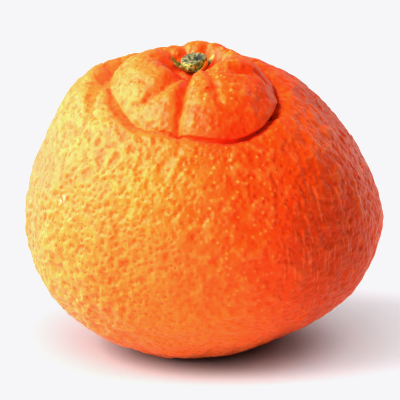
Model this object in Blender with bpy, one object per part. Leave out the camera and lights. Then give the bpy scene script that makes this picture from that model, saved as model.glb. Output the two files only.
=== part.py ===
"""A whole mandarin with its calyx and the cut stub of its stem, resting on a small flat spot.

The fruit is made in its own frame: the stem axis is +Z and its front is -Y. A bearing goes round the stem
axis from the front towards +X, and a polar angle is measured down from the stem. An empty then leans the
fruit as it rests and stands it on the ground at Z = 0.
"""

import math

import bmesh
import bpy
from mathutils import Euler, Matrix, Vector, noise

MM = 0.001

# The body, an oblate solid: half its width, half its depth and its height over and under the middle
HALF_WIDTH = 35.0 * MM
HALF_DEPTH = 34.4 * MM
HALF_HEIGHT = 30.5 * MM
HALF_HEIGHT_BELOW = 28.8 * MM
ARC = 33.0 * MM  # mean radius, which turns a polar angle into a distance along the skin

# The mesh: rings round the stem axis, of which some are on the collar, and how each is divided
RINGS = 61
COLLAR_RINGS = 16
SEGMENTS = 96
COLLAR_CROWDING = 0.9  # a lower power brings the collar's rings closer to its edge
BODY_CROWDING = 1.25  # a higher power brings the body's rings closer to the crease

# How the fruit rests: the stem leans to the front and to the left
LEAN_FRONT = 9.0
LEAN_LEFT = 3.5
REST_HEIGHT = 27.8 * MM  # of the body's centre over the ground, which presses the skin flat

# Broad swellings and flats of the body: bearing, polar angle, spread, height
SWELLS = (
    (-118, 38, 22, 3.0 * MM),
    (100, 62, 30, -1.7 * MM),
    (90, 112, 32, 1.2 * MM),
    (-76, 118, 34, 0.7 * MM),
    (38, 146, 28, -1.3 * MM),
    (115, 170, 18, 2.4 * MM),
)

# The raised collar round the stem: bearing, polar angle of the crease at its foot, rise of the collar's
# edge over the body, depth of the crease, overhang of the edge
COLLAR_EDGE = (
    (-150, 22.5, 2.6 * MM, 0.6 * MM, 0.0 * MM),
    (-119, 28.5, 1.9 * MM, 1.2 * MM, 0.1 * MM),
    (-85, 27.8, 1.8 * MM, 1.0 * MM, 0.0 * MM),
    (-60, 29.4, 2.4 * MM, 1.2 * MM, 0.0 * MM),
    (-35, 34.5, 2.8 * MM, 0.9 * MM, 0.1 * MM),
    (-12, 36.5, 3.2 * MM, 1.0 * MM, 0.8 * MM),
    (15, 40.9, 3.6 * MM, 1.3 * MM, 1.2 * MM),
    (30, 39.5, 3.9 * MM, 1.5 * MM, 1.3 * MM),
    (48, 34.7, 4.0 * MM, 1.5 * MM, 1.1 * MM),
    (74, 27.5, 3.7 * MM, 0.8 * MM, 0.5 * MM),
    (95, 22.0, 3.0 * MM, 0.6 * MM, 0.2 * MM),
    (130, 19.5, 3.1 * MM, 0.6 * MM, 0.2 * MM),
    (170, 22.0, 3.1 * MM, 0.6 * MM, 0.1 * MM),
)
COLLAR_RISE = 3.2 * MM  # of the top of the collar round the stem
RIM_FROM = 0.8  # share of the collar from which its rise is that of its edge
SOFT_EDGE = (5.0, 1.7)  # powers of the collar's profile where its edge is soft
STEEP_EDGE = (2.8, 0.5)  # and where it hangs over, puffed up and upright at the crease
EDGE_AT = 0.955  # share of the collar at which its edge hangs over most
EDGE_WIDTH = 0.07  # share of the collar that hangs over with it
CREASE_WIDTH = 1.4 * MM
LIP_HEIGHT = 0.6 * MM
LIP_WIDTH = 3.0 * MM

# Furrows that run out from the stem over the collar: bearing halfway along the collar, turn along the whole
# collar, depth, width, reach as a share of the collar
FURROWS = (
    (-8, -4, 2.3 * MM, 0.7 * MM, 1.40),
    (-28, -43, 2.3 * MM, 1.1 * MM, 1.10),
    (-98, 0, 1.1 * MM, 0.9 * MM, 0.60),
    (-135, 0, 1.2 * MM, 0.8 * MM, 0.65),
    (-166, 0, 1.6 * MM, 0.7 * MM, 0.80),
    (-178, 0, 0.9 * MM, 0.6 * MM, 0.60),
    (155, 0, 1.6 * MM, 0.8 * MM, 0.75),
    (120, 0, 1.3 * MM, 0.8 * MM, 0.65),
    (86, 0, 1.3 * MM, 1.0 * MM, 0.66),
    (17, -4, 0.9 * MM, 0.7 * MM, 0.90),
)
FURROW_START = 0.10  # share of the collar at which furrows begin
FURROW_ONSET = 0.12  # share of the collar over which they reach their depth
FURROW_FADE = 0.45  # share of their reach over which they end
FURROW_END = 1.08  # share of the collar where all of them have ended
FURROW_BOTTOM = 0.2  # how round their bottom is
FURROW_SPREAD = 1.25  # how far their sides reach into the ribs

# Deep pits in the skin: bearing, polar angle, depth, radius
HOLES = ((49, 35.6, 1.6 * MM, 1.1 * MM),)

# The basin that the stem stands in
BASIN_RADIUS = 4.8 * MM
BASIN_OPEN_FRONT = 0.7 * MM  # how much wider the basin is to the front
BASIN_DEPTH = 4.6 * MM

# Folds, two that leave the collar on its left and one over its right: bearing, polar angle, depth along each
FOLDS = (
    ((-127, 29.5, 0.3 * MM), (-108, 29.0, 0.8 * MM), (-88, 31.0, 1.0 * MM), (-79, 33.2, 0.9 * MM),
     (-71, 35.8, 0.7 * MM), (-62, 39.5, 0.0 * MM)),
    ((-44, 33.0, 0.4 * MM), (-38, 35.0, 0.7 * MM), (-31, 37.6, 0.5 * MM), (-24, 42.0, 0.0 * MM)),
    ((26, 14.4, 0.5 * MM), (39, 16.8, 1.0 * MM), (52, 19.5, 1.1 * MM), (62, 23.2, 1.0 * MM),
     (63, 26.5, 0.8 * MM), (68, 30.4, 0.4 * MM)),
)
FOLD_WIDTH = 1.3 * MM

# Lumps all over the skin: size, height. The smallest are its oil glands, shown larger than life.
LUMPS = ((10.0 * MM, 0.45 * MM), (4.5 * MM, 0.25 * MM), (1.6 * MM, 0.75 * MM))

# The blossom end, opposite the stem
DIMPLE_RADIUS = 2.3 * MM
DIMPLE_DEPTH = 0.5 * MM

# The calyx: a small star of sepals under the stem
CALYX_RADIUS = 2.7 * MM
SEPAL_TIP_RADIUS = 4.3 * MM
SEPALS = 5
SEPAL_TURN = 20.0
SEPAL_SHARPNESS = 1.6
CALYX_THICKNESS = 0.7 * MM
SEPAL_CURL = 0.7 * MM
CURL_FROM = 0.6 * CALYX_RADIUS  # distance from the stem axis at which the sepals begin to curl up
SEAT_GAP = 0.3 * MM  # between pieces that touch

# The cut stub of the stem
STUB_RADIUS = 2.6 * MM
STUB_FLATNESS = 0.92  # front to back over side to side
STUB_WAVES = (3, 0.05)  # how many swellings go round the stub, and their height as a share of its radius
STUB_HEIGHT = 1.1 * MM
CUT_SLOPE = 10.0  # the cut leans to the front
CUT_HOLLOW = 0.5 * MM
HOLLOW_RADIUS = 0.8 * STUB_RADIUS
SQUARENESS = 0.5  # a lower power makes flattened balls more like discs

PEEL_COLOUR = (0.90, 0.24, 0.01, 1.0)
SEPAL_COLOUR = (0.50, 0.42, 0.07, 1.0)
STEM_COLOUR = (0.34, 0.36, 0.14, 1.0)


def smooth(x):
    """A soft step from 0 to 1 as x goes from 0 to 1."""
    x = min(max(x, 0.0), 1.0)
    return x * x * (3.0 - 2.0 * x)


def round_the_stem(stations, bearing):
    """The values at a bearing, on a smooth closed curve through the stations."""
    count = len(stations)
    after = next((i for i, s in enumerate(stations) if s[0] > bearing), 0)
    p0, p1, p2, p3 = (stations[(after + k) % count] for k in (-2, -1, 0, 1))
    span = (p2[0] - p1[0]) % 360
    before, beyond = (p1[0] - p0[0]) % 360, (p3[0] - p2[0]) % 360
    t = ((bearing - p1[0]) % 360) / span
    blends = (
        2 * t**3 - 3 * t**2 + 1,
        t**3 - 2 * t**2 + t,
        -2 * t**3 + 3 * t**2,
        t**3 - t**2,
    )
    values = []
    for v0, v1, v2, v3 in zip(p0[1:], p1[1:], p2[1:], p3[1:]):
        slope1 = (v2 - v0) / (before + span) * span
        slope2 = (v3 - v1) / (span + beyond) * span
        values.append(blends[0] * v1 + blends[1] * slope1 + blends[2] * v2 + blends[3] * slope2)
    return values


def direction(bearing, polar):
    """The unit vector at a bearing and a polar angle, in degrees."""
    b, p = math.radians(bearing), math.radians(polar)
    return Vector((math.sin(p) * math.sin(b), -math.sin(p) * math.cos(b), math.cos(p)))


def angles(d):
    """The bearing and the polar angle of a direction, in degrees."""
    polar = math.degrees(math.acos(min(max(d.z, -1.0), 1.0)))
    return math.degrees(math.atan2(d.x, -d.y)), polar


def ring_polar(ring, edge):
    """The polar angle of a ring of the mesh: rings follow the hanging edge and the crease of the collar."""
    if ring <= COLLAR_RINGS:
        return EDGE_AT * edge * (ring / COLLAR_RINGS) ** COLLAR_CROWDING
    below = (ring - COLLAR_RINGS - 1) / (RINGS - COLLAR_RINGS - 1)
    return edge + (180.0 - edge) * below**BODY_CROWDING


def swell(d):
    return sum(
        height * math.exp(-((math.degrees(d.angle(direction(bearing, polar))) / spread) ** 2))
        for bearing, polar, spread, height in SWELLS
    )


def collar_height(share, off, edge_rise, depth, overhang):
    """Height of the skin over the body where the share runs from 0 at the stem to 1 at the crease."""
    if share < 1.0:
        rise = COLLAR_RISE + (edge_rise - COLLAR_RISE) * smooth(share / RIM_FROM)
        hanging = smooth(overhang / MM)
        round_off, drop = (soft + (steep - soft) * hanging for soft, steep in zip(SOFT_EDGE, STEEP_EDGE))
        return (rise + depth) * (1.0 - share**round_off) ** drop - depth
    lip = LIP_HEIGHT * off / LIP_WIDTH * math.exp(1.0 - off / LIP_WIDTH)
    return lip - depth * math.exp(-((off / CREASE_WIDTH) ** 2))


def furrow_depth(share, bearing, polar):
    """How far the furrows cut in."""
    radius = max(ARC * math.sin(math.radians(polar)), 1e-6)
    cut = 0.0
    for at, turn, depth, width, reach in FURROWS:
        off = radius * math.radians((bearing - at - turn * (share - 0.5) + 180) % 360 - 180)
        along = smooth((share - FURROW_START) / FURROW_ONSET)
        along *= smooth((reach - share) / (FURROW_FADE * reach))
        along *= smooth((FURROW_END - share) / FURROW_ONSET)
        across = math.hypot(FURROW_BOTTOM, off / (FURROW_SPREAD * width))
        cut += depth * along * math.exp(FURROW_BOTTOM - across)
    return cut


def basin_depth(bearing, polar):
    """How far the skin sinks round the stem."""
    width = BASIN_RADIUS + BASIN_OPEN_FRONT * 0.5 * (1.0 + math.cos(math.radians(bearing)))
    radius = ARC * math.sin(math.radians(polar))
    return BASIN_DEPTH * math.exp(-((radius / width) ** 4))


def fold_depth(d):
    """How far the folds cut in."""
    cut = 0.0
    for (b0, p0, d0), (b1, p1, d1) in (pair for fold in FOLDS for pair in zip(fold, fold[1:])):
        start, end = direction(b0, p0), direction(b1, p1)
        along = min(max((d - start).dot(end - start) / (end - start).length_squared, 0.0), 1.0)
        off = ARC * (d - start.lerp(end, along)).length
        depth = d0 + (d1 - d0) * along
        cut = max(cut, depth * math.exp(-((off / FOLD_WIDTH) ** 2)))
    return cut


def hole_depth(d):
    return sum(
        depth * math.exp(-((ARC * (d - direction(bearing, polar)).length / radius) ** 2))
        for bearing, polar, depth, radius in HOLES
    )


def lumps(point):
    return sum(height * noise.noise(point / size) for size, height in LUMPS)


def skin_point(bearing, polar):
    """The point of the skin at a bearing and a polar angle."""
    edge, edge_rise, depth, overhang = round_the_stem(COLLAR_EDGE, bearing)
    d = direction(bearing, polar)
    half_height = HALF_HEIGHT if d.z > 0.0 else HALF_HEIGHT_BELOW
    body = Vector((HALF_WIDTH * d.x, HALF_DEPTH * d.y, half_height * d.z))
    out = Vector((d.x / HALF_WIDTH, d.y / HALF_DEPTH, d.z / half_height)).normalized()
    away = direction(bearing, polar + 90.0)
    share = polar / edge
    off = ARC * math.radians(polar - edge)
    height = swell(d) + lumps(body) + collar_height(share, off, edge_rise, depth, overhang)
    height -= furrow_depth(share, bearing, polar) + basin_depth(bearing, polar)
    height -= fold_depth(d) + hole_depth(d)
    height -= DIMPLE_DEPTH * math.exp(-((ARC * math.radians(180.0 - polar) / DIMPLE_RADIUS) ** 2))
    roll = overhang * math.exp(-(((share - EDGE_AT) / EDGE_WIDTH) ** 2))
    roll *= 1.0 - smooth((share - EDGE_AT) / (1.0 - EDGE_AT))
    return body + out * height + away * roll


def skin_height(x, y):
    """Height of the skin near the stem, for a place beside the stem axis."""
    polar = math.degrees(math.asin(math.hypot(x, y) / HALF_WIDTH))
    return skin_point(math.degrees(math.atan2(x, -y)), polar).z


def seat_height():
    """Height at which a disc under the stem clears the basin."""
    turns = [math.radians(step) for step in range(0, 360, 10)]
    return SEAT_GAP + max(skin_height(CALYX_RADIUS * math.cos(t), CALYX_RADIUS * math.sin(t)) for t in turns)


def resting_matrix():
    """Leans the stem to the front and to the left."""
    lean = Euler((math.radians(LEAN_FRONT), -math.radians(LEAN_LEFT), 0.0), "XYZ")
    return lean.to_matrix().to_4x4()


def fruit_mesh(lean):
    """The fruit's mesh in its own frame, and the place of its centre over the ground."""
    bm = bmesh.new()
    bmesh.ops.create_uvsphere(bm, u_segments=SEGMENTS, v_segments=RINGS, radius=1.0)
    for v in bm.verts:
        bearing, polar = angles(v.co)
        ring = round(polar / 180.0 * RINGS)
        bearing += 180.0 / SEGMENTS * (ring % 2)
        v.co = skin_point(bearing, ring_polar(ring, round_the_stem(COLLAR_EDGE, bearing)[0]))
    rests = [lean @ v.co for v in bm.verts]
    upright = lean.inverted()
    for v, p in zip(bm.verts, rests):
        p.z = max(p.z, -REST_HEIGHT)
        v.co = upright @ p
    bmesh.ops.triangulate(bm, faces=bm.faces[:])
    middle = [-(min(p[k] for p in rests) + max(p[k] for p in rests)) / 2 for k in range(2)]
    return bm, Vector((*middle, REST_HEIGHT))


def calyx_mesh(seat):
    """A flat star with upturned tips, from a flattened ball."""
    bm = bmesh.new()
    bmesh.ops.create_uvsphere(bm, u_segments=60, v_segments=12, radius=1.0)
    for v in bm.verts:
        around = math.atan2(v.co.y, v.co.x)
        out = math.hypot(v.co.x, v.co.y)
        star = (0.5 + 0.5 * math.cos(SEPALS * (around - math.radians(SEPAL_TURN)))) ** SEPAL_SHARPNESS
        radius = out * (CALYX_RADIUS + (SEPAL_TIP_RADIUS - CALYX_RADIUS) * star)
        past = max(radius - CURL_FROM, 0.0) / (SEPAL_TIP_RADIUS - CURL_FROM)
        thick = CALYX_THICKNESS / 2 * math.copysign(abs(v.co.z) ** SQUARENESS, v.co.z)
        x, y = radius * math.cos(around), radius * math.sin(around)
        under = max(seat, skin_height(x, y) + SEAT_GAP)
        v.co = Vector((x, y, under + CALYX_THICKNESS / 2 + thick + SEPAL_CURL * past**2))
    return bm


def stub_mesh(foot):
    """A short round stub with a slanting, hollowed cut."""
    bm = bmesh.new()
    bmesh.ops.create_uvsphere(bm, u_segments=32, v_segments=14, radius=1.0)
    slope = math.tan(math.radians(CUT_SLOPE))
    for v in bm.verts:
        around = math.atan2(v.co.y, v.co.x)
        out = math.hypot(v.co.x, v.co.y)
        square = math.copysign(abs(v.co.z) ** SQUARENESS, v.co.z)
        waves, wave_height = STUB_WAVES
        radius = STUB_RADIUS * out**SQUARENESS * (1.0 + wave_height * math.cos(waves * around))
        x, y = radius * math.cos(around), STUB_FLATNESS * radius * math.sin(around)
        z = STUB_HEIGHT * (0.5 + 0.5 * square)
        if v.co.z > 0.0:
            z += slope * y - CUT_HOLLOW * (1.0 - smooth(radius / HOLLOW_RADIUS))
        v.co = Vector((x, y, foot + z))
    return bm


def material(name, colour, roughness):
    made = bpy.data.materials.new(name)
    made.use_nodes = True
    shader = made.node_tree.nodes["Principled BSDF"]
    shader.inputs["Base Color"].default_value = colour
    shader.inputs["Roughness"].default_value = roughness
    shader.inputs["Metallic"].default_value = 0.0
    return made


def add_piece(name, bm, parent, finish):
    bmesh.ops.recalc_face_normals(bm, faces=bm.faces[:])
    mesh = bpy.data.meshes.new(name)
    bm.to_mesh(mesh)
    bm.free()
    mesh.shade_smooth()
    mesh.materials.append(finish)
    piece = bpy.data.objects.new(name, mesh)
    bpy.context.scene.collection.objects.link(piece)
    piece.parent = parent
    return piece


def main():
    for obj in list(bpy.data.objects):
        bpy.data.objects.remove(obj)
    lean = resting_matrix()
    fruit, centre = fruit_mesh(lean)
    axes = bpy.data.objects.new("stem_axis", None)
    bpy.context.scene.collection.objects.link(axes)
    axes.matrix_world = Matrix.Translation(centre) @ lean
    seat = seat_height()
    foot = seat + CALYX_THICKNESS + SEAT_GAP
    add_piece("fruit", fruit, axes, material("peel", PEEL_COLOUR, 0.42))
    add_piece("calyx", calyx_mesh(seat), axes, material("sepal", SEPAL_COLOUR, 0.6))
    add_piece("stem_stub", stub_mesh(foot), axes, material("stem", STEM_COLOUR, 0.7))


main()
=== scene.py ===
# %% [markdown]
# # A mandarin with its stem
#
# One whole mandarin rests on a pale floor. Round its cut stem the peel is raised to a furrowed collar, and a
# crease runs under the front of the collar like a smile. The solids of the fruit, the calyx and the stem
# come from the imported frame. This script makes a finer piece for each of them, in the same place, and gives
# each piece a finish that is made of nodes.
#
# The fruit is shaped in its own frame: the stem axis is +Z and its front is -Y. A bearing goes round the
# stem axis from the front towards +X, and a polar angle is measured down from the stem.

# %% Load the frame
import math

import bmesh
import bpy
import numpy as np
from mathutils import Euler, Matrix, Vector, kdtree, noise


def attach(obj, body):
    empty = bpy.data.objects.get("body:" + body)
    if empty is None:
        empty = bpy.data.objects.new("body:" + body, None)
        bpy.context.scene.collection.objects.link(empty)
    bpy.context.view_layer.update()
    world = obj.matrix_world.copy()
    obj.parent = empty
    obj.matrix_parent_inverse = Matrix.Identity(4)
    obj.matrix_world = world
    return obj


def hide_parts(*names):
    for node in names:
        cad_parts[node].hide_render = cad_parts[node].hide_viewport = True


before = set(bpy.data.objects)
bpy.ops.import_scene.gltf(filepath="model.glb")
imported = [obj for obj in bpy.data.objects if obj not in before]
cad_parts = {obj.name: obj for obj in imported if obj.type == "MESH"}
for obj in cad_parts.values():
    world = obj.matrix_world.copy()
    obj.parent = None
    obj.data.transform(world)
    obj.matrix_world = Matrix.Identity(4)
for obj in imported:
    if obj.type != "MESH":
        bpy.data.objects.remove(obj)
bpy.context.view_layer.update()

MM = 0.001


def in_mm(corners):
    """The corners of a box in millimetres, rounded for printing."""
    return [[round(float(v) / MM, 2) for v in corner] for corner in corners]


# %% [markdown]
# ## The body's measures
#
# A mandarin is a ball that is wider than it is high, with a few broad swellings and flats where it grew
# against leaves and other fruit. It could be sculpted by hand, but named measures keep this piece and its
# solid the same, so these are the solid's own numbers.

# %% Measures of the body
HALF_WIDTH = 35.0 * MM
HALF_DEPTH = 34.4 * MM
HALF_HEIGHT = 30.5 * MM
HALF_HEIGHT_BELOW = 28.8 * MM
ARC = 33.0 * MM  # mean radius, which turns a polar angle into a distance along the skin

LEAN_FRONT = 9.0  # degrees that the stem leans to the front
LEAN_LEFT = 3.5  # and to the left
CENTRE = Vector((-0.25, -0.08, 27.8)) * MM  # of the body, over the ground

# Broad swellings and flats: bearing, polar angle, spread, height
SWELLS = (
    (-118, 38, 22, 3.0 * MM),
    (100, 62, 30, -1.7 * MM),
    (90, 112, 32, 1.2 * MM),
    (-76, 118, 34, 0.7 * MM),
    (38, 146, 28, -1.3 * MM),
    (115, 170, 18, 2.4 * MM),
)
print("body in mm:", in_mm([(2 * HALF_WIDTH, 2 * HALF_DEPTH, HALF_HEIGHT + HALF_HEIGHT_BELOW)]))

# %% [markdown]
# ## The collar's measures
#
# The collar is a raised ring of peel round the stem. Its edge is soft at the back and on the left, and at
# the front and on the right it hangs over a deep crease. A table of stations round the stem says where the
# crease runs and how high the edge stands, and a smooth closed curve goes through them.

# %% Measures of the collar
# Bearing, polar angle of the crease, rise of the edge, depth of the crease, overhang of the edge
COLLAR_EDGE = (
    (-150, 22.5, 2.6 * MM, 0.6 * MM, 0.0 * MM),
    (-119, 28.5, 1.9 * MM, 1.2 * MM, 0.1 * MM),
    (-85, 27.8, 1.8 * MM, 1.0 * MM, 0.0 * MM),
    (-60, 29.4, 2.4 * MM, 1.2 * MM, 0.0 * MM),
    (-35, 34.5, 2.8 * MM, 0.9 * MM, 0.1 * MM),
    (-12, 36.5, 3.2 * MM, 1.0 * MM, 0.8 * MM),
    (15, 40.9, 3.6 * MM, 1.3 * MM, 1.2 * MM),
    (30, 39.5, 3.9 * MM, 1.5 * MM, 1.3 * MM),
    (48, 34.7, 4.0 * MM, 1.5 * MM, 1.1 * MM),
    (74, 27.5, 3.7 * MM, 0.8 * MM, 0.5 * MM),
    (95, 22.0, 3.0 * MM, 0.6 * MM, 0.2 * MM),
    (130, 19.5, 3.1 * MM, 0.6 * MM, 0.2 * MM),
    (170, 22.0, 3.1 * MM, 0.6 * MM, 0.1 * MM),
)
COLLAR_RISE = 3.2 * MM  # of the top of the collar round the stem
RIM_FROM = 0.8  # share of the collar from which its rise is that of its edge
SOFT_EDGE = (5.0, 1.7)  # powers of the collar's profile where its edge is soft
STEEP_EDGE = (2.8, 0.5)  # and where it hangs over, puffed up and upright at the crease
EDGE_AT = 0.955  # share of the collar at which its edge hangs over most
EDGE_WIDTH = 0.07  # share of the collar that hangs over with it
CREASE_WIDTH = 1.4 * MM
LIP_HEIGHT = 0.6 * MM  # of the swelling below the crease
LIP_WIDTH = 3.0 * MM
highest_edge = max(station[2] for station in COLLAR_EDGE)
print("collar:", len(COLLAR_EDGE), "stations, highest edge in mm:", round(highest_edge / MM, 1))

# %% [markdown]
# ## Furrows, folds and the basin
#
# Furrows run out from the stem and part the collar into rounded ribs, as the segments of the fruit pull the
# peel down. The stem stands in a small basin. Two folds leave the collar on the left, a third one crosses
# its right lobe, and at the right end of the crease there is a deep dark pit. Each could be cut with a
# sculpting brush, but a row of numbers for each can be read, and changed later.

# %% Measures of the furrows, the basin, the folds and the pits
# Bearing halfway along the collar, turn along the whole collar, depth, width, reach as a share of the collar
FURROWS = (
    (-8, -4, 2.3 * MM, 0.7 * MM, 1.40),
    (-28, -43, 2.3 * MM, 1.1 * MM, 1.10),
    (-98, 0, 1.1 * MM, 0.9 * MM, 0.60),
    (-135, 0, 1.2 * MM, 0.8 * MM, 0.65),
    (-166, 0, 1.6 * MM, 0.7 * MM, 0.80),
    (-178, 0, 0.9 * MM, 0.6 * MM, 0.60),
    (155, 0, 1.6 * MM, 0.8 * MM, 0.75),
    (120, 0, 1.3 * MM, 0.8 * MM, 0.65),
    (86, 0, 1.3 * MM, 1.0 * MM, 0.66),
    (17, -4, 0.9 * MM, 0.7 * MM, 0.90),
)
FURROW_START = 0.10  # share of the collar at which furrows begin
FURROW_ONSET = 0.12  # share of the collar over which they reach their depth
FURROW_FADE = 0.45  # share of their reach over which they end
FURROW_END = 1.08  # share of the collar where all of them have ended
FURROW_BOTTOM = 0.2  # how round their bottom is
FURROW_SPREAD = 1.25  # how far their sides reach into the ribs

BASIN_RADIUS = 4.8 * MM
BASIN_OPEN_FRONT = 0.7 * MM  # how much wider the basin is to the front
BASIN_DEPTH = 4.6 * MM

# The folds' lines: bearing, polar angle, depth along them
FOLDS = (
    ((-127, 29.5, 0.3 * MM), (-108, 29.0, 0.8 * MM), (-88, 31.0, 1.0 * MM), (-79, 33.2, 0.9 * MM),
     (-71, 35.8, 0.7 * MM), (-62, 39.5, 0.0 * MM)),
    ((-44, 33.0, 0.4 * MM), (-38, 35.0, 0.7 * MM), (-31, 37.6, 0.5 * MM), (-24, 42.0, 0.0 * MM)),
    ((26, 14.4, 0.5 * MM), (39, 16.8, 1.0 * MM), (52, 19.5, 1.1 * MM), (62, 23.2, 1.0 * MM),
     (63, 26.5, 0.8 * MM), (68, 30.4, 0.4 * MM)),
)
FOLD_WIDTH = 1.3 * MM

# Pits: bearing, polar angle, depth, radius. The second is the blossom end, opposite the stem.
PITS = (
    (49, 35.6, 1.6 * MM, 1.1 * MM),
    (0, 180.0, 0.5 * MM, 2.3 * MM),
)
LUMPS = ((10.0 * MM, 0.45 * MM), (4.5 * MM, 0.25 * MM))  # size, height
print("furrows:", len(FURROWS), "folds:", len(FOLDS), "pits:", len(PITS))

# %% [markdown]
# ## The form as a function
#
# Each point of a ball is pushed to its place by functions of its bearing and its polar angle. The ball could
# also be displaced by a texture, but functions can give the collar an edge that hangs over. They take whole
# columns of numbers at a time, which is quick even for a hundred thousand points.


# %% Helpers for the form
def smooth(x):
    """A soft step from 0 to 1 as x goes from 0 to 1."""
    x = np.clip(x, 0.0, 1.0)
    return x * x * (3.0 - 2.0 * x)


def direction(bearing, polar):
    """The unit vectors at bearings and polar angles, in degrees."""
    b, p = np.radians(bearing), np.radians(polar)
    return np.stack([np.sin(p) * np.sin(b), -np.sin(p) * np.cos(b), np.cos(p)], axis=-1)


def angles(d):
    """The bearings and the polar angles of unit vectors, in degrees."""
    return np.degrees(np.arctan2(d[:, 0], -d[:, 1])), np.degrees(np.arccos(np.clip(d[:, 2], -1.0, 1.0)))


def round_the_stem(bearing):
    """Crease, rise, depth and overhang at each bearing, on a smooth closed curve through the stations."""
    at = np.array([station[0] for station in COLLAR_EDGE], float)
    values = np.array([station[1:] for station in COLLAR_EDGE])
    after = np.searchsorted(at, bearing, side="right")
    i0, i1, i2, i3 = ((after + k) % len(at) for k in (-2, -1, 0, 1))
    span, before, beyond = ((at[b] - at[a]) % 360 for a, b in ((i1, i2), (i0, i1), (i2, i3)))
    t = (((bearing - at[i1]) % 360) / span)[:, None]
    slope1 = (values[i2] - values[i0]) * (span / (before + span))[:, None]
    slope2 = (values[i3] - values[i1]) * (span / (span + beyond))[:, None]
    curve = (2 * t**3 - 3 * t**2 + 1) * values[i1] + (t**3 - 2 * t**2 + t) * slope1
    return (curve + (3 * t**2 - 2 * t**3) * values[i2] + (t**3 - t**2) * slope2).T


front_crease = round_the_stem(np.array([0.0]))[0][0]
print("the crease at the front runs", round(float(front_crease), 1), "degrees from the stem")


# %% The collar's profile
def collar_height(share, off, edge_rise, depth, overhang):
    """Height of the skin over the body where the share runs from 0 at the stem to 1 at the crease."""
    rise = COLLAR_RISE + (edge_rise - COLLAR_RISE) * smooth(share / RIM_FROM)
    steepness = smooth(overhang / MM)
    round_off, drop = (soft + (steep - soft) * steepness for soft, steep in zip(SOFT_EDGE, STEEP_EDGE))
    inside = (rise + depth) * np.clip(1.0 - share**round_off, 0.0, 1.0) ** drop - depth
    lip = LIP_HEIGHT * off / LIP_WIDTH * np.exp(1.0 - off / LIP_WIDTH)
    return np.where(share < 1.0, inside, lip - depth * np.exp(-((off / CREASE_WIDTH) ** 2)))


def furrow_depth(share, bearing, polar):
    """How far the furrows cut in."""
    radius = np.maximum(ARC * np.sin(np.radians(polar)), 1e-6)
    cut = np.zeros(len(share))
    for at, turn, depth, width, reach in FURROWS:
        off = radius * np.radians((bearing - at - turn * (share - 0.5) + 180) % 360 - 180)
        along = smooth((share - FURROW_START) / FURROW_ONSET)
        along *= smooth((reach - share) / (FURROW_FADE * reach))
        along *= smooth((FURROW_END - share) / FURROW_ONSET)
        cut += depth * along * np.exp(FURROW_BOTTOM - np.hypot(FURROW_BOTTOM, off / (FURROW_SPREAD * width)))
    return cut


def basin_depth(bearing, polar):
    """How far the skin sinks round the stem."""
    width = BASIN_RADIUS + BASIN_OPEN_FRONT * 0.5 * (1.0 + np.cos(np.radians(bearing)))
    return BASIN_DEPTH * np.exp(-((ARC * np.sin(np.radians(polar)) / width) ** 4))


def fold_depth(d):
    """How far the folds cut in."""
    cut = np.zeros(len(d))
    for fold in FOLDS:
        for (b0, p0, d0), (b1, p1, d1) in zip(fold, fold[1:]):
            start, end = direction(b0, p0), direction(b1, p1)
            along = np.clip((d - start) @ (end - start) / ((end - start) @ (end - start)), 0.0, 1.0)
            off = ARC * np.linalg.norm(d - start - along[:, None] * (end - start), axis=1)
            cut = np.maximum(cut, (d0 + (d1 - d0) * along) * np.exp(-((off / FOLD_WIDTH) ** 2)))
    return cut


# %% The skin without its glands
def blobs(d, places, spread_in_degrees):
    """The sum of round swellings or pits, each with a place, a size and a height."""
    total = np.zeros(len(d))
    for bearing, polar, first, second in places:
        apart = np.arccos(np.clip(d @ direction(bearing, polar), -1.0, 1.0))
        if spread_in_degrees:
            total += second * np.exp(-((np.degrees(apart) / first) ** 2))
        else:
            total += first * np.exp(-((ARC * apart / second) ** 2))
    return total


def lumps(points, layers):
    """Soft lumps of each size and height."""
    vectors = [Vector(p) for p in points]
    return sum(height * np.array([noise.noise(v / size) for v in vectors]) for size, height in layers)


def skin_points(bearing, polar):
    """The points of the skin at bearings and polar angles."""
    edge, edge_rise, depth, overhang = round_the_stem(bearing)
    d = direction(bearing, polar)
    half = np.stack([np.full(len(d), HALF_WIDTH), np.full(len(d), HALF_DEPTH),
                     np.where(d[:, 2] > 0.0, HALF_HEIGHT, HALF_HEIGHT_BELOW)], axis=1)
    body = half * d
    out = d / half
    out /= np.linalg.norm(out, axis=1)[:, None]
    share, off = polar / edge, ARC * np.radians(polar - edge)
    height = blobs(d, SWELLS, True) + lumps(body, LUMPS)
    height += collar_height(share, off, edge_rise, depth, overhang)
    height -= furrow_depth(share, bearing, polar) + basin_depth(bearing, polar)
    height -= fold_depth(d) + blobs(d, PITS, False)
    roll = overhang * np.exp(-(((share - EDGE_AT) / EDGE_WIDTH) ** 2))
    roll *= 1.0 - smooth((share - EDGE_AT) / (1.0 - EDGE_AT))
    return body + out * height[:, None] + direction(bearing, polar + 90.0) * roll[:, None]


top = skin_points(np.array([0.0]), np.array([0.0]))[0]
print("bottom of the basin over the middle of the body in mm:", round(float(top[2]) / MM, 2))

# %% [markdown]
# ## The ball that becomes the fruit
#
# An icosphere has even triangles and no poles, so the skin's relief is as fine on the shoulder as on the
# side, which a ball with meridians wouldn't give. Its points are drawn a little towards the crease and the
# stem, where the form turns sharply.

# %% Make the ball and draw it towards the crease
CREASE_CROWDING = (0.62, 0.30)  # how much closer the points lie at the crease, and in what share beside it
STEM_CROWDING = (0.30, 30.0)  # and at the stem, with the polar angle it reaches


def crowded(bearing, polar):
    """The polar angles, drawn towards the stem and the crease."""
    strength, reach = STEM_CROWDING
    polar = polar * (1.0 - strength * np.exp(-((polar / reach) ** 2)))
    edge = round_the_stem(bearing)[0]
    strength, reach = CREASE_CROWDING
    off = polar / edge - 1.0
    return edge * (1.0 + off * (1.0 - strength * np.exp(-((off / reach) ** 2))))


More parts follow.
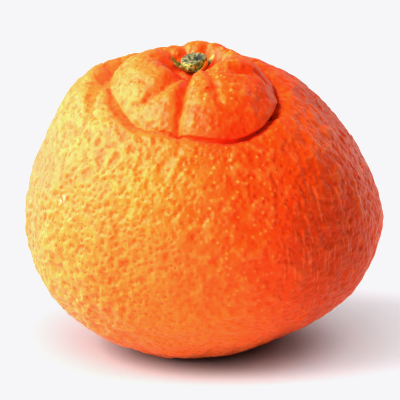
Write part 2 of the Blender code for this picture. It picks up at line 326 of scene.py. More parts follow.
peel_bm = bmesh.new()
bmesh.ops.create_icosphere(peel_bm, subdivisions=6, radius=1.0)
bmesh.ops.subdivide_edges(peel_bm, edges=peel_bm.edges[:], cuts=2, use_grid_fill=True)
unit = np.array([v.co.normalized() for v in peel_bm.verts])
bearings, polars = angles(unit)
polars = crowded(bearings, polars)
form = skin_points(bearings, polars)
print("skin:", len(form), "points,", len(peel_bm.faces), "faces")

# %% [markdown]
# ## Oil glands
#
# The peel is full of oil glands. Over most of them the skin sinks to a small pit, over some it bulges, and
# between them it stands up in soft pebbles 1 to 3 mm across. A cell texture could mark the glands, but it
# can't keep them apart evenly. So they are seeds spread evenly over the ball, each moved a little. A tree of
# the seeds finds the nearest one to every point, and its distance says how far the skin sinks there.

# %% Spread the pits
PIT_SPACING = 1.3 * MM
PIT_JITTER = 0.34  # share of the spacing
PLACE_SHARE = 0.87  # of the square of the spacing, the area that a pit has in even rows
PIT_RADIUS = (0.30 * MM, 0.46 * MM)  # of the smallest and the largest
PIT_DEPTH = (-0.16 * MM, 0.22 * MM)  # the smallest bulge instead
GOLDEN_TURN = math.pi * (3.0 - math.sqrt(5.0))
draw = np.random.default_rng(11)


def spread_seeds(spacing, jitter):
    """Directions spread evenly over the ball, each moved a little."""
    count = int(4.0 * math.pi * ARC**2 / (PLACE_SHARE * spacing**2))
    step = np.arange(count) + 0.5
    z = 1.0 - 2.0 * step / count
    flat = np.sqrt(1.0 - z * z)
    seeds = np.stack([flat * np.cos(GOLDEN_TURN * step), flat * np.sin(GOLDEN_TURN * step), z], axis=1)
    seeds += draw.normal(0.0, jitter * spacing / ARC, seeds.shape)
    return seeds / np.linalg.norm(seeds, axis=1)[:, None]


seeds = spread_seeds(PIT_SPACING, PIT_JITTER)
pits = skin_points(*angles(seeds))
pit_size = draw.uniform(0.0, 1.0, len(pits))
print("oil glands:", len(pits))

# %% Sink the pits and raise the pebbles
# Size, height
PEBBLES = ((2.8 * MM, 0.24 * MM), (1.5 * MM, 0.30 * MM), (0.9 * MM, 0.14 * MM))
CALM = (14.0 * MM, 0.45)  # size of the patches where the pebbles are lower, and how much lower
CALM_CONTRAST = 1.5
CREASE_CALM = (0.6, 0.10)  # how much lower they are at the crease, and the share of the collar it reaches


def tree_of(points):
    """A tree that finds the nearest of the points."""
    made = kdtree.KDTree(len(points))
    for i, p in enumerate(points):
        made.insert(p, i)
    made.balance()
    return made


for v, p in zip(peel_bm.verts, form):
    v.co = p
peel_bm.normal_update()
normals = np.array([v.normal for v in peel_bm.verts])
pit_tree = tree_of(pits)
nearest = [pit_tree.find(p) for p in form]
which = np.array([hit[1] for hit in nearest])
away = np.array([hit[2] for hit in nearest])
radius = PIT_RADIUS[0] + (PIT_RADIUS[1] - PIT_RADIUS[0]) * pit_size[which]
sink = (PIT_DEPTH[0] + (PIT_DEPTH[1] - PIT_DEPTH[0]) * pit_size[which]) * np.exp(-((away / radius) ** 2))
pebble = lumps(form, PEBBLES)
calm = 1.0 - CALM[1] * smooth(0.5 + CALM_CONTRAST * lumps(form, ((CALM[0], 1.0),)))
from_crease = polars / round_the_stem(bearings)[0] - 1.0
calm *= 1.0 - CREASE_CALM[0] * np.exp(-((from_crease / CREASE_CALM[1]) ** 2))
relief = pebble * calm - sink
print("relief in mm:", round(relief.min() / MM, 3), "to", round(relief.max() / MM, 3))

# %% [markdown]
# ## Set the fruit down
#
# The fruit leans as it lies, and its weight presses a small flat spot on the ground. The lean could be a
# turn of the object, but then its finish would turn with it, so the points themselves are turned and lifted.
# Points that would be under the ground are brought up to it.

# %% Lean the fruit and stand it on the ground
lean = Euler((math.radians(LEAN_FRONT), -math.radians(LEAN_LEFT), 0.0), "XYZ").to_matrix()
turn = np.array(lean)


def stand(points):
    """Points of the fruit's own frame, leaned and lifted to where the fruit rests."""
    placed = points @ turn.T + np.array(CENTRE)
    placed[:, 2] = np.maximum(placed[:, 2], 0.0)
    return placed


resting = stand(form + normals * relief[:, None])
for v, p in zip(peel_bm.verts, resting):
    v.co = p


def piece(name, bm):
    """A shown object made from a bmesh."""
    mesh = bpy.data.meshes.new(name)
    bm.to_mesh(mesh)
    bm.free()
    mesh.shade_smooth()
    made = bpy.data.objects.new(name, mesh)
    bpy.context.scene.collection.objects.link(made)
    return made


STREAK_SHARE = 0.1  # streaks are as many times longer as this is smaller than 1
peel = piece("fruit_peel", peel_bm)
height_layer = peel.data.attributes.new("relief", "FLOAT", "POINT")
height_layer.data.foreach_set("value", relief / MM)
streak_places = ARC * direction(bearings, np.full(len(bearings), 90.0))
streak_places[:, 2] = STREAK_SHARE * ARC * np.radians(polars)
streak_layer = peel.data.attributes.new("along_streaks", "FLOAT_VECTOR", "POINT")
streak_layer.data.foreach_set("vector", streak_places.astype(np.float32).ravel())
print("peel box in mm:", in_mm((resting.min(0), resting.max(0))))

# %% [markdown]
# ## Tell each facet its nearest pit
#
# The pits are darker than the skin round them, and a dot of colour has to be sharper than a facet. A colour
# kept at the corners of the facets would blur it. So each facet keeps the middle and the size of its nearest
# pit, and the finish works out the distance to it.

# %% Store the nearest pit on the facets
facets = np.zeros(3 * len(peel.data.polygons))
peel.data.polygons.foreach_get("center", facets)
facets = facets.reshape(-1, 3)
standing = stand(pits)
standing_tree = tree_of(standing)
nearest_pit = np.array([standing_tree.find(c)[1] for c in facets])
middle_layer = peel.data.attributes.new("pit_middle", "FLOAT_VECTOR", "FACE")
middle_layer.data.foreach_set("vector", standing[nearest_pit].astype(np.float32).ravel())
size_layer = peel.data.attributes.new("pit_size", "FLOAT", "FACE")
size_layer.data.foreach_set("value", pit_size[nearest_pit].astype(np.float32))
print("facets that know their nearest pit:", len(nearest_pit))

# %% [markdown]
# ## Tools for finishes
#
# Every finish is a Principled shader with nodes for what varies over the surface. They could be wired one by
# one, but a few helpers that add a node and wire its sockets in one line keep the finishes short.


# %% Helpers for nodes
def finish(name):
    """A new material, its node tree and its shader."""
    made = bpy.data.materials.new(name)
    made.use_nodes = True
    return made, made.node_tree, made.node_tree.nodes["Principled BSDF"]


def plug(tree, socket, value):
    """Gives a socket a link, or a value of its own."""
    if isinstance(value, bpy.types.NodeSocket):
        tree.links.new(value, socket)
    else:
        socket.default_value = value


def add(tree, kind, sockets, **settings):
    """A node with its settings, and with values or links on the sockets that are named."""
    node = tree.nodes.new("ShaderNode" + kind)
    for key, value in settings.items():
        setattr(node, key, value)
    for key, value in sockets.items():
        plug(tree, node.inputs[key], value)
    return node


def maths(tree, operation, *values):
    """The result of a sum on numbers."""
    return add(tree, "Math", dict(enumerate(values)), operation=operation).outputs[0]


def between(tree, value, low, high, to_low=0.0, to_high=1.0):
    """A soft step of a value from one range to another."""
    sockets = {0: value, 1: low, 2: high, 3: to_low, 4: to_high}
    return add(tree, "MapRange", sockets, interpolation_type="SMOOTHSTEP").outputs[0]


def mixed(tree, share, first, second):
    """Two colours mixed by a share."""
    return add(tree, "Mix", {0: share, 6: first, 7: second}, data_type="RGBA").outputs[2]


# %% Helpers for what a finish reads and ends with
def place_on(tree):
    """The place of a point of the surface, in metres."""
    return tree.nodes.new("ShaderNodeTexCoord").outputs["Object"]


def stored(tree, name, kind="Fac"):
    """A number or a vector that the mesh keeps under a name."""
    return add(tree, "Attribute", {}, attribute_name=name).outputs[kind]


def distance(tree, here, there):
    """How far one place is from another."""
    return add(tree, "VectorMath", {0: here, 1: there}, operation="DISTANCE").outputs["Value"]


def noisy(tree, place, size, detail=2.0, roughness=0.5):
    """Cloudy noise with features of a size in metres."""
    sockets = {"Vector": place, "Scale": 1.0 / size, "Detail": detail, "Roughness": roughness}
    return add(tree, "TexNoise", sockets).outputs["Fac"]


def coat(tree, shader, colour, roughness, height):
    """Gives the shader its colour, its roughness and a fine relief, whose height is in metres."""
    bump = add(tree, "Bump", {"Strength": 1.0, "Distance": 1.0, "Height": height})
    plug(tree, shader.inputs["Base Color"], colour)
    plug(tree, shader.inputs["Roughness"], roughness)
    plug(tree, shader.inputs["Normal"], bump.outputs["Normal"])


# %% [markdown]
# ## The peel's ground colour, with painted light and shade
#
# The peel isn't one orange. It has broad blotches of its own, and light and shade are painted over them: it
# is painted yellower on the lit left side and low down, where the floor throws light up, and stays a deeper
# orange on the shaded right side and higher up. Its hollows are deeper, partly in their own colour and partly
# as painted shade, and its pebbles are paler as a painted highlight. It could be painted on an unrolled
# image, but a ball has no good place for the seam. Nodes that read the place of each point need none.

# %% Colour the ground of the peel, with painted light and shade
SKIN = (0.93, 0.105, 0.002, 1.0)
SKIN_DEEP = (0.88, 0.080, 0.001, 1.0)
# painted light: the yellow of the lit left side and of the bottom
LIT_SIDE_YELLOW = (0.96, 0.190, 0.032, 1.0)
# painted highlight on the pebbles
PEBBLE_HIGHLIGHT_PALE = (0.97, 0.230, 0.042, 1.0)
BLOTCH_SIZE = 9.0 * MM
RAMP_BLOTCHES = 12.0 * MM  # how far the blotches push the painted light ramp to and fro
RAMP_RISE = 0.20  # how much further towards the shaded orange the painted light ramp reaches at each unit of height
SHADED_ORANGE_AT, LIT_YELLOW_AT = 34.0 * MM, -8.0 * MM  # painted light ramp at which the peel is wholly its shaded orange, and wholly the lit yellow
HOLLOW_SHADE = (-0.22, 0.6)  # relief in mm at which the hollows are deepest in colour, partly their own colour and partly painted shade, and how much of the deep colour they have there
PEBBLE_HIGHLIGHT = (0.16, 0.5)  # relief in mm at which the pebbles are palest as a painted highlight, and how much of the pale colour

peel_finish, nodes, shader = finish("peel_finish")
spot = place_on(nodes)
blotches = noisy(nodes, spot, BLOTCH_SIZE, 3.0)
colour = mixed(nodes, between(nodes, blotches, 0.35, 0.65), SKIN_DEEP, SKIN)
axes = add(nodes, "SeparateXYZ", {0: spot}).outputs
# painted light ramp: from the lit left side and the bottom to the shaded right side and the top, pushed to
# and fro by the blotches
painted_light_ramp = maths(nodes, "MULTIPLY_ADD", blotches, RAMP_BLOTCHES, axes["X"])
painted_light_ramp = maths(nodes, "MULTIPLY_ADD", axes["Z"], RAMP_RISE, painted_light_ramp)
# paint the lit side and the bottom yellow
colour = mixed(nodes, between(nodes, painted_light_ramp, SHADED_ORANGE_AT, LIT_YELLOW_AT), colour, LIT_SIDE_YELLOW)
# painted shade in the hollows, over their own deeper colour, and a painted highlight on the pebbles
relief_here = stored(nodes, "relief")
colour = mixed(nodes, between(nodes, relief_here, 0.0, HOLLOW_SHADE[0], 0.0, HOLLOW_SHADE[1]), colour, SKIN_DEEP)
colour = mixed(nodes, between(nodes, relief_here, 0.0, PEBBLE_HIGHLIGHT[0], 0.0, PEBBLE_HIGHLIGHT[1]), colour, PEBBLE_HIGHLIGHT_PALE)
print("ground of the peel:", len(nodes.nodes), "nodes")

# %% [markdown]
# ## The glands' painted highlights
#
# The glands that bulge get a painted highlight on their tip, as if light caught them. It shows best in the
# middle of the front, where the painted yellow side turns to orange. The finish has the distance to the
# middle of the nearest gland, so each highlight is a round spot. Highlights all over the fruit would look
# like sugar, so the painted light ramp says where they fade.

# %% Paint highlights on the tips of the glands
TIP_HIGHLIGHT_COLOUR = (0.98, 0.33, 0.06, 1.0)
DOT_RADIUS, DOT_GROWTH = 0.14 * MM, 0.12 * MM  # of the smallest gland, and how much more the largest has
TIP_EDGE = (3.0, 0.8)  # of a tip's painted highlight, as multiples of its dot's radius: where it ends and where it is full
TIP_SIZES = (0.26, 0.20)  # glands smaller than this get a painted highlight on their tip
TIP_STRENGTH = 0.75
TIPS_FROM = (8.0 * MM, 16.0 * MM)  # painted light ramp over which the highlights appear
TIPS_TO = (36.0 * MM, 20.0 * MM, 0.15, 1.0)  # over which most of them fade again, least and most strength

gland_size = stored(nodes, "pit_size")
dot_radius = maths(nodes, "MULTIPLY_ADD", gland_size, DOT_GROWTH, DOT_RADIUS)
reach = maths(nodes, "DIVIDE", distance(nodes, spot, stored(nodes, "pit_middle", "Vector")), dot_radius)
tip = between(nodes, gland_size, *TIP_SIZES, 0.0, TIP_STRENGTH)
tip = maths(nodes, "MULTIPLY", between(nodes, reach, *TIP_EDGE), tip)
tip = maths(nodes, "MULTIPLY", tip, between(nodes, painted_light_ramp, *TIPS_FROM))
tip = maths(nodes, "MULTIPLY", tip, between(nodes, painted_light_ramp, *TIPS_TO))
# painted highlight on the tips of the glands
colour = mixed(nodes, tip, colour, TIP_HIGHLIGHT_COLOUR)
print("glands with a pale tip:", int((pit_size < TIP_SIZES[1]).sum()), "of", len(pit_size))

# %% [markdown]
# ## Broad painted light and shade
#
# Broad regions of the peel are painted redder and darker where shade falls, on the front and the right flank
# of the collar and on the right side, and paler where light falls, on the right shoulder, low at the front
# and on the left. One large noise could do this, but not put a region where it belongs. So each painted patch
# is soft and round, placed on the skin by its bearing and its polar angle.

# %% Paint broad light and shade on regions
# Bearing, polar angle, radius, strength, colour
LIGHT_AND_SHADE_TINTS = (
    # painted shade at the front of the collar and on its right flank
    (16, 37.0, 8.0 * MM, 0.70, (0.86, 0.045, 0.001, 1.0)),
    (52, 24.0, 7.0 * MM, 0.45, (0.84, 0.050, 0.001, 1.0)),
    # painted light on the right shoulder
    (62, 44.0, 13.0 * MM, 0.50, (0.98, 0.180, 0.012, 1.0)),
    # painted shade on the right side
    (48, 98.0, 29.0 * MM, 0.85, (0.62, 0.062, 0.001, 1.0)),
    # painted light low at the front, on the left and under the front of the crease
    (-5, 122.0, 26.0 * MM, 0.80, (0.96, 0.200, 0.025, 1.0)),
    (-58, 112.0, 22.0 * MM, 0.50, (0.98, 0.280, 0.080, 1.0)),
    (-88, 72.0, 25.0 * MM, 0.60, (0.97, 0.150, 0.050, 1.0)),
    (-18, 57.0, 15.0 * MM, 0.50, (0.97, 0.230, 0.012, 1.0)),
)


def on_the_skin(places):
    """Where on the standing fruit the places of a table are."""
    return stand(skin_points(*(np.array([place[k] for place in places], float) for k in (0, 1))))


for (bearing, polar, radius, strength, painted_tint_colour), place in zip(LIGHT_AND_SHADE_TINTS, on_the_skin(LIGHT_AND_SHADE_TINTS)):
    painted_tint = between(nodes, distance(nodes, spot, place), radius, 0.0, 0.0, strength)
    colour = mixed(nodes, painted_tint, colour, painted_tint_colour)
print("tints:", len(LIGHT_AND_SHADE_TINTS))

# %% [markdown]
# ## Dots, streaks and marks
#
# The pores are dark dots, clearest on the pale side. On the other side fine pale streaks run down from the
# stem: painted reflections of the white surround along fine wrinkles. A stretched noise on plain coordinates
# would cross the fruit in straight lines, so the streaks read a place that the mesh keeps, which follows the
# skin and is squeezed along them. A few marks are broken up by a fine noise so that they look scratched: a
# brown blemish and a pale scar, as twigs and other fruit leave them, painted shade in the deep pit at the
# right end of the crease, and pale patches of painted reflection on the right lobe and the right shoulder.

# %% Add the dots and the streaks of painted reflection
PIT_COLOUR = (0.42, 0.060, 0.002, 1.0)
DOT_EDGE = (1.2, 0.4)  # of a dot, as multiples of its radius: where it ends and where it is full
DOTS = (22.0 * MM, -8.0 * MM, 0.3, 0.85)  # painted light ramp from which to which they darken, least and most strength
# painted reflection of the white surround along the streaks
STREAK_REFLECTION_COLOUR = (0.90, 0.22, 0.07, 1.0)
STREAK_SIZE = 0.55 * MM
STREAK_EDGE = (0.57, 0.66)  # of the noise
STREAKS = (16.0 * MM, 34.0 * MM, 0.0, 0.5)  # painted light ramp over which the streaks of painted reflection appear, least and most strength

dot = maths(nodes, "MULTIPLY", between(nodes, reach, *DOT_EDGE), between(nodes, painted_light_ramp, *DOTS))
colour = mixed(nodes, dot, colour, PIT_COLOUR)
streaks = noisy(nodes, stored(nodes, "along_streaks", "Vector"), STREAK_SIZE, 2.0)
streaks = maths(nodes, "MULTIPLY", between(nodes, streaks, *STREAK_EDGE), between(nodes, painted_light_ramp, *STREAKS))
# paint the reflections along the streaks
colour = mixed(nodes, streaks, colour, STREAK_REFLECTION_COLOUR)
print("streaks are", round(1.0 / STREAK_SHARE), "times longer than they are wide")

# %% Add the marks, with painted shade and painted reflections among them
# Bearing, polar angle, radius, strength, colour
MARKS_AND_PAINTED_LIGHT = (
    (9, 22.5, 1.5 * MM, 0.9, (0.45, 0.045, 0.004, 1.0)),
    # painted shade: the deep pit at the right end of the crease, darkened
    (49, 35.4, 1.6 * MM, 1.0, (0.14, 0.02, 0.002, 1.0)),
    # painted reflection: a pale patch on the collar's right lobe
    (36, 28.5, 2.6 * MM, 0.5, (0.88, 0.26, 0.12, 1.0)),
    (-55, 68.0, 1.7 * MM, 0.9, (0.97, 0.55, 0.30, 1.0)),
    # painted reflection: a pale patch on the right shoulder
    (57, 55.0, 5.0 * MM, 0.4, (0.88, 0.26, 0.12, 1.0)),
)
MARK_CORE = 0.2  # share of a mark's radius within which it is full
SCRATCH_SIZE = 0.6 * MM
SCRATCH_EDGE = (0.5, 0.6)  # of the noise

scratched = noisy(nodes, spot, SCRATCH_SIZE, 3.0)
for (bearing, polar, radius, strength, mark_and_light_colour), place in zip(MARKS_AND_PAINTED_LIGHT, on_the_skin(MARKS_AND_PAINTED_LIGHT)):
    inside = between(nodes, distance(nodes, spot, place), radius, MARK_CORE * radius, 0.0, strength)
    mark_and_light = maths(nodes, "MULTIPLY", inside, between(nodes, scratched, *SCRATCH_EDGE))
    colour = mixed(nodes, mark_and_light, colour, mark_and_light_colour)
print("marks:", len(MARKS_AND_PAINTED_LIGHT))

# %% [markdown]
# ## The peel's wax
#
# The peel has a soft waxy gloss, and light goes a little way into it, red the farthest. The relief that is
# finer than the facets is a bump: hollows over the large glands, small pebbles and a grain. Anything coarser
# is in the mesh already, so the outline shows it too.

# %% Wax the peel
GRAIN_SIZE, GRAIN_HEIGHT = 0.35 * MM, 0.03 * MM
FINE_PEBBLE_SIZE, FINE_PEBBLE_HEIGHT = 0.9 * MM, 0.18 * MM
HOLLOW_DEPTH = 0.11 * MM
HOLLOW_EDGE = (3.4, 0.2)  # of a hollow, as multiples of its dot's radius
HOLLOWS = (0.1, 0.45, -0.8, 1.0)  # the smallest glands bulge by 0.8 of the depth that the others sink
ROUGHNESS = (0.32, 0.42)
SUBSURFACE_REACH = (1.0, 0.25, 0.05)  # of red, green and blue
WAX = {
    "Subsurface Weight": 0.35,
    "Subsurface Scale": 1.0 * MM,
    "Subsurface Radius": SUBSURFACE_REACH,
    "Specular IOR Level": 0.19,
    "Sheen Weight": 0.06,
    "Sheen Roughness": 0.4,
}

grain = noisy(nodes, spot, GRAIN_SIZE, 3.0)
fine_pebbles = noisy(nodes, spot, FINE_PEBBLE_SIZE, 2.0)
hollow = maths(nodes, "MULTIPLY", between(nodes, reach, *HOLLOW_EDGE), between(nodes, gland_size, *HOLLOWS))
height = maths(nodes, "MULTIPLY", grain, GRAIN_HEIGHT)
height = maths(nodes, "MULTIPLY_ADD", fine_pebbles, FINE_PEBBLE_HEIGHT, height)
height = maths(nodes, "MULTIPLY_ADD", hollow, -HOLLOW_DEPTH, height)
coat(nodes, shader, colour, between(nodes, grain, 0.3, 0.7, *ROUGHNESS), height)
for socket, value in WAX.items():
    shader.inputs[socket].default_value = value
peel.data.materials.append(peel_finish)
print("finish of the peel:", len(nodes.nodes), "nodes")

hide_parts("fruit")
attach(peel, "root")

# %% [markdown]
# ## The calyx
#
# Where the stem meets the fruit, five small sepals have dried to a yellow-green star with turned-up tips.
# Each could be a leaf of its own, but on the real fruit they grow from one disc. So the star is one
# flattened ball, drawn out at five bearings. It is seated on the highest point of the skin below it.

# %% Measures of the calyx, and its seat
CALYX_RADIUS = 2.7 * MM  # between the sepals
SEPAL_TIP_RADIUS = 4.3 * MM
SEPALS = 5
SEPAL_TURN = 20.0  # degrees round the stem
SEPAL_SHARPNESS = 1.6
SEPAL_CURL = 1.9 * MM  # how far the tips turn up
SEPAL_RAGGED = (0.9 * MM, 0.35 * MM)  # size and height of the waves in the edge
SEPAL_THINNING = 0.6  # how much thinner the tips are
CURL_FROM = 0.6 * CALYX_RADIUS
CALYX_THICKNESS = 0.7 * MM
SQUARENESS = 0.5  # power that fills the ball's sides out towards a disc
SEAT_GAP = 0.3 * MM


def skin_heights(x, y):
    """Height of the skin near the stem, for places beside the stem axis."""
    polar = np.degrees(np.arcsin(np.hypot(x, y) / HALF_WIDTH))
    return skin_points(np.degrees(np.arctan2(x, -y)), polar)[:, 2]


seat_turns = np.radians(np.arange(0, 360, 10))
seat = SEAT_GAP + skin_heights(CALYX_RADIUS * np.cos(seat_turns), CALYX_RADIUS * np.sin(seat_turns)).max()
print("seat of the calyx in mm:", round(seat / MM, 3))


# %% Shape the calyx
def new_ball(segments, rings):
    """A ball's bmesh, with its points' places, their turn round the axis and their distance from it."""
    bm = bmesh.new()
    bmesh.ops.create_uvsphere(bm, u_segments=segments, v_segments=rings, radius=1.0)
    places = np.array([v.co for v in bm.verts])
    return bm, places, np.arctan2(places[:, 1], places[:, 0]), np.hypot(places[:, 0], places[:, 1])


def squared(heights, power):
    """Heights of a ball from -1 to 1, filled out towards a disc."""
    return np.copysign(np.abs(heights) ** power, heights)


calyx_bm, ball, around, out = new_ball(160, 24)
star = (0.5 + 0.5 * np.cos(SEPALS * (around - math.radians(SEPAL_TURN)))) ** SEPAL_SHARPNESS
rim_places = CALYX_RADIUS * np.stack([np.cos(around), np.sin(around), 0.0 * around], axis=1)
ragged = lumps(rim_places, (SEPAL_RAGGED,))
radius = out * (CALYX_RADIUS + ragged + (SEPAL_TIP_RADIUS - CALYX_RADIUS) * star)
past = np.maximum(radius - CURL_FROM, 0.0) / (SEPAL_TIP_RADIUS - CURL_FROM)
thick = (1.0 - SEPAL_THINNING * smooth(past)) * CALYX_THICKNESS / 2 * squared(ball[:, 2], SQUARENESS)
x, y = radius * np.cos(around), radius * np.sin(around)
under = np.maximum(seat, skin_heights(x, y) + SEAT_GAP)
star_points = np.stack([x, y, under + CALYX_THICKNESS / 2 + thick + SEPAL_CURL * past**2], axis=1)
for v, p in zip(calyx_bm.verts, stand(star_points)):
    v.co = p
calyx = piece("calyx_star", calyx_bm)
edge_layer = calyx.data.attributes.new("from_middle", "FLOAT", "POINT")
edge_layer.data.foreach_set("value", radius / SEPAL_TIP_RADIUS)
print("calyx across its tips in mm:", round(2 * float(radius.max()) / MM, 2))

# %% [markdown]
# ## The calyx's finish
#
# Dried sepals are yellow-green with browner patches, and the star is darker towards its middle, round the
# foot of the stem and between the sepals. Each point of the star keeps its distance from the middle, so the
# finish knows how far out it is, however the star curls.

# %% Paint the calyx
SEPAL_BROWN = (0.26, 0.20, 0.02, 1.0)
SEPAL_GREEN = (0.58, 0.46, 0.06, 1.0)
SEPAL_INNER = (0.10, 0.09, 0.02, 1.0)
SEPAL_PATCH = 1.2 * MM
SEPAL_ROUGHNESS = (0.5, 0.7)
SEPAL_WRINKLE = 0.2 * MM

sepal_finish, nodes, shader = finish("sepal_finish")
patches = noisy(nodes, place_on(nodes), SEPAL_PATCH, 4.0)
colour = mixed(nodes, between(nodes, patches, 0.35, 0.6), SEPAL_BROWN, SEPAL_GREEN)
# darker towards the middle of the star
colour = mixed(nodes, between(nodes, stored(nodes, "from_middle"), 0.95, 0.6), colour, SEPAL_INNER)
roughness = between(nodes, patches, 0.3, 0.7, *SEPAL_ROUGHNESS)
coat(nodes, shader, colour, roughness, maths(nodes, "MULTIPLY", patches, SEPAL_WRINKLE))
calyx.data.materials.append(sepal_finish)
print("finish of the calyx:", len(nodes.nodes), "nodes")

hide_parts("calyx")
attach(calyx, "root")

# %% [markdown]
# ## The cut stem
#
# The stem was snipped off just over the calyx. Its cut slopes, is a little hollow, and has a deeper soft
# pith beside the middle. A cylinder with a bevel would look machined, so this is a ball that is squared to a
# drum, with three soft ribs down its side. It stands sunk in the calyx that it grew from.

# %% Shape the stub
STUB_RADIUS = 2.6 * MM
STUB_FLATNESS = 0.92  # its depth as a share of its width
STUB_RIBS, RIB_SHARE = 3, 0.05
STUB_HEIGHT = 2.4 * MM
STUB_SUNK = 0.8 * MM
STUB_SQUARENESS = 0.3
CUT_SLOPE = 10.0  # degrees, to the front
CUT_ROLL = 8.0  # degrees, to the left
CUT_HOLLOW = 0.25 * MM
HOLLOW_RADIUS = 0.8 * STUB_RADIUS
PITH_RIGHT = 1.0 * MM  # of the stub's middle
PITH_RADIUS = 0.9 * MM
PITH_DEPTH = 0.6 * MM

stub_bm, ball, around, out = new_ball(128, 48)
radius = STUB_RADIUS * out**STUB_SQUARENESS * (1.0 + RIB_SHARE * np.cos(STUB_RIBS * around))
x, y = radius * np.cos(around), STUB_FLATNESS * radius * np.sin(around)
pith = np.exp(-(((x - PITH_RIGHT) / PITH_RADIUS) ** 2) - (y / PITH_RADIUS) ** 2)
cut = math.tan(math.radians(CUT_SLOPE)) * y + math.tan(math.radians(CUT_ROLL)) * x - PITH_DEPTH * pith
cut -= CUT_HOLLOW * (1.0 - smooth(radius / HOLLOW_RADIUS))
foot = seat + CALYX_THICKNESS + SEAT_GAP - STUB_SUNK
drum = STUB_HEIGHT * (0.5 + 0.5 * squared(ball[:, 2], STUB_SQUARENESS))
z = foot + drum + np.where(ball[:, 2] > 0.0, cut, 0.0)
stub_points = stand(np.stack([x, y, z], axis=1))
for v, p in zip(stub_bm.verts, stub_points):
    v.co = p
stub = piece("stem_cut", stub_bm)
rim_layer = stub.data.attributes.new("from_middle", "FLOAT", "POINT")
rim_layer.data.foreach_set("value", radius / STUB_RADIUS)
pith_layer = stub.data.attributes.new("pith", "FLOAT", "POINT")
pith_layer.data.foreach_set("value", pith * (ball[:, 2] > 0.0))
print("stub box in mm:", in_mm((stub_points.min(0), stub_points.max(0))))

# %% [markdown]
# ## The stub's finish
#
# The cut face shows grey-green wood with dark fibres, and the hollow of the pith beside the middle is painted
# nearly black as painted shade. Its rim and its side are yellow-green bark. The mesh keeps how far each point
# is from the middle and how deep it is in the pith.

# %% Paint the stub
WOOD_DARK = (0.06, 0.06, 0.025, 1.0)
WOOD_PALE = (0.33, 0.29, 0.14, 1.0)
PITH_HOLLOW_SHADE = (0.02, 0.022, 0.010, 1.0)
BARK_DARK = (0.09, 0.10, 0.015, 1.0)
BARK_PALE = (0.42, 0.36, 0.08, 1.0)
FIBRE_SIZE, FIBRE_HEIGHT = 0.5 * MM, 0.15 * MM
BARK_WAVER = 0.12  # how far the fibres push the edge of the bark
BARK_FROM = (0.88, 0.98)  # share of the radius
WOOD_ROUGHNESS = (0.6, 0.8)

stem_finish, nodes, shader = finish("stem_finish")
fibres = noisy(nodes, place_on(nodes), FIBRE_SIZE, 4.0)
colour = mixed(nodes, between(nodes, fibres, 0.40, 0.66), WOOD_DARK, WOOD_PALE)
# painted shade in the hollow of the pith
colour = mixed(nodes, between(nodes, stored(nodes, "pith"), 0.10, 0.6), colour, PITH_HOLLOW_SHADE)
bark_colour = mixed(nodes, between(nodes, fibres, 0.42, 0.62), BARK_DARK, BARK_PALE)
bark = maths(nodes, "MULTIPLY_ADD", fibres, BARK_WAVER, stored(nodes, "from_middle"))
colour = mixed(nodes, between(nodes, bark, *BARK_FROM), colour, bark_colour)
roughness = between(nodes, fibres, 0.3, 0.7, *WOOD_ROUGHNESS)
coat(nodes, shader, colour, roughness, maths(nodes, "MULTIPLY", fibres, FIBRE_HEIGHT))
stub.data.materials.append(stem_finish)
print("finish of the stub:", len(nodes.nodes), "nodes")

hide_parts("stem_stub")
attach(stub, "root")

# %% [markdown]
# ## The floor
#
# A plain matt floor, wide enough that its edge is never near the fruit. It is a middle grey, because it has
# lights of its own that bring it up to white, and a paler one would throw too much light back at the fruit.

# %% Lay the floor
FLOOR_RADIUS = 3.0
FLOOR_COLOUR = (0.38, 0.38, 0.385, 1.0)
FLOOR_ROUGHNESS = 0.6

floor_bm = bmesh.new()
bmesh.ops.create_circle(floor_bm, cap_ends=True, segments=96, radius=FLOOR_RADIUS)
floor = piece("floor", floor_bm)
floor_finish, nodes, shader = finish("floor_finish")
shader.inputs["Base Color"].default_value = FLOOR_COLOUR
shader.inputs["Roughness"].default_value = FLOOR_ROUGHNESS
floor.data.materials.append(floor_finish)
print("floor:", 2 * FLOOR_RADIUS, "m across")

# %% [markdown]
# ## The light
#
# A large soft light from the upper left models the fruit, with weaker ones at its edges. The floor of a
# product picture is almost white, though the shadow on it is dark. One set of lights can't do both without
# bleaching the fruit, so the fruit and the floor each have their own, which shine on nothing else. All of
# them cast shadows.

# %% Hang the lights
LIGHT_DISTANCE = 3.0
# Where from, size, power
FRUIT_LIGHTS = {
    "key_light": ((-1.0, -0.28, 0.85), 2.4, 265.0),
    "edge_light": ((-1.0, 0.6, 0.35), 2.0, 80.0),
    "fill_light": ((-0.9, -1.0, 0.05), 2.5, 85.0),
    "rim_light": ((1.0, 1.1, 0.4), 1.8, 20.0),
}
FLOOR_LIGHTS = {
    "floor_top_light": ((0.0, 0.0, 1.0), 6.0, 190.0),
    "floor_left_light": ((-1.0, -0.3, 0.6), 2.4, 300.0),
    "floor_front_light": ((0.0, -1.0, 0.9), 2.5, 85.0),
    "floor_right_light": ((0.75, -0.1, 1.0), 2.5, 95.0),
}


def soft_light(name, where, size, power, lights_up):
    """A square light that lights only the objects that are given."""
    where = Vector(where)
    light = bpy.data.objects.new(name, bpy.data.lights.new(name, "AREA"))
    light.data.shape = "SQUARE"
    light.data.size = size
    light.data.energy = power
    light.location = CENTRE + where.normalized() * LIGHT_DISTANCE
    light.rotation_euler = where.to_track_quat("Z", "Y").to_euler()
    light.visible_camera = False
    bpy.context.scene.collection.objects.link(light)
    receivers = bpy.data.collections.new(name + "_receivers")
    for shown in lights_up:
        receivers.objects.link(shown)
    light.light_linking.receiver_collection = receivers


for lights, lights_up in ((FRUIT_LIGHTS, (peel, calyx, stub)), (FLOOR_LIGHTS, (floor,))):
    for name, (where, size, power) in lights.items():
        soft_light(name, where, size, power, lights_up)
print("lights:", len(FRUIT_LIGHTS), "on the fruit,", len(FLOOR_LIGHTS), "on the floor")

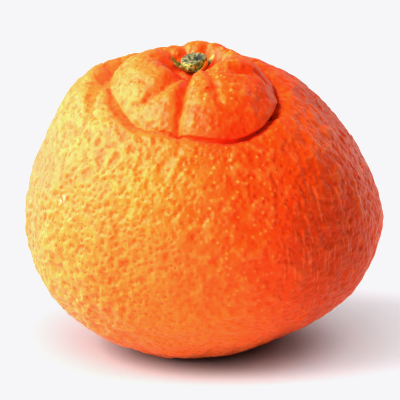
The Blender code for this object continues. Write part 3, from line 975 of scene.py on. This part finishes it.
# %% [markdown]
# ## The surround and the picture's white
#
# A white surround fills the shadows. The camera sees it brighter than the fruit does, so that it is as pale
# as the floor and no horizon shows. The picture's white is held just under full white, where floor and
# surround meet, and a gamma below 1 keeps the orange deep.

# %% Set the surround and the view
SURROUND = (0.97, 0.98, 1.0, 1.0)
SURROUND_STRENGTH = 0.36
SURROUND_SEEN = 1.1  # its strength as the background of the picture
WHITE = (0.942, 0.942, 0.960)  # brightness at which each channel of the picture stops getting brighter
GAMMA = 0.74

world = bpy.data.worlds.new("surround")
world.use_nodes = True
background = world.node_tree.nodes["Background"]
background.inputs["Color"].default_value = SURROUND
seen = add(world.node_tree, "LightPath", {}).outputs["Is Camera Ray"]
strength = maths(world.node_tree, "MULTIPLY_ADD", seen, SURROUND_SEEN - SURROUND_STRENGTH, SURROUND_STRENGTH)
plug(world.node_tree, background.inputs["Strength"], strength)
bpy.context.scene.world = world

view = bpy.context.scene.view_settings
view.view_transform = "Standard"
view.gamma = GAMMA
view.use_curve_mapping = True
view.curve_mapping.extend = "HORIZONTAL"
for curve, white in zip(view.curve_mapping.curves, WHITE):
    curve.points[1].location = (1.0, white)
view.curve_mapping.update()
print("white of the picture:", WHITE)

# %% [markdown]
# ## The camera
#
# The camera looks down at the fruit a little, from half a metre away with a long lens, as a product picture
# is taken. Close up with a wide lens, the collar would look too large for the fruit. A small shift of the
# lens sets the fruit below the middle of the picture without tilting the camera.

# %% Place the camera
CAMERA_ELEVATION = 14.0
CAMERA_DISTANCE = 0.5
FRAME_WIDTH = 79.7 * MM  # of the view, at the fruit
BODY_OFF_CENTRE = (3.0 / 400, 9.0 / 400)  # of the body's centre, right and down, as shares of the frame

look = Vector((0.0, math.cos(math.radians(CAMERA_ELEVATION)), -math.sin(math.radians(CAMERA_ELEVATION))))
camera = bpy.data.objects.new("camera", bpy.data.cameras.new("camera"))
camera.location = CENTRE - look * CAMERA_DISTANCE
camera.rotation_euler = look.to_track_quat("-Z", "Y").to_euler()
camera.data.lens = camera.data.sensor_width * CAMERA_DISTANCE / FRAME_WIDTH
camera.data.shift_x = -BODY_OFF_CENTRE[0]
camera.data.shift_y = BODY_OFF_CENTRE[1]
bpy.context.scene.collection.objects.link(camera)
bpy.context.scene.camera = camera
print("lens in mm:", round(camera.data.lens, 1))
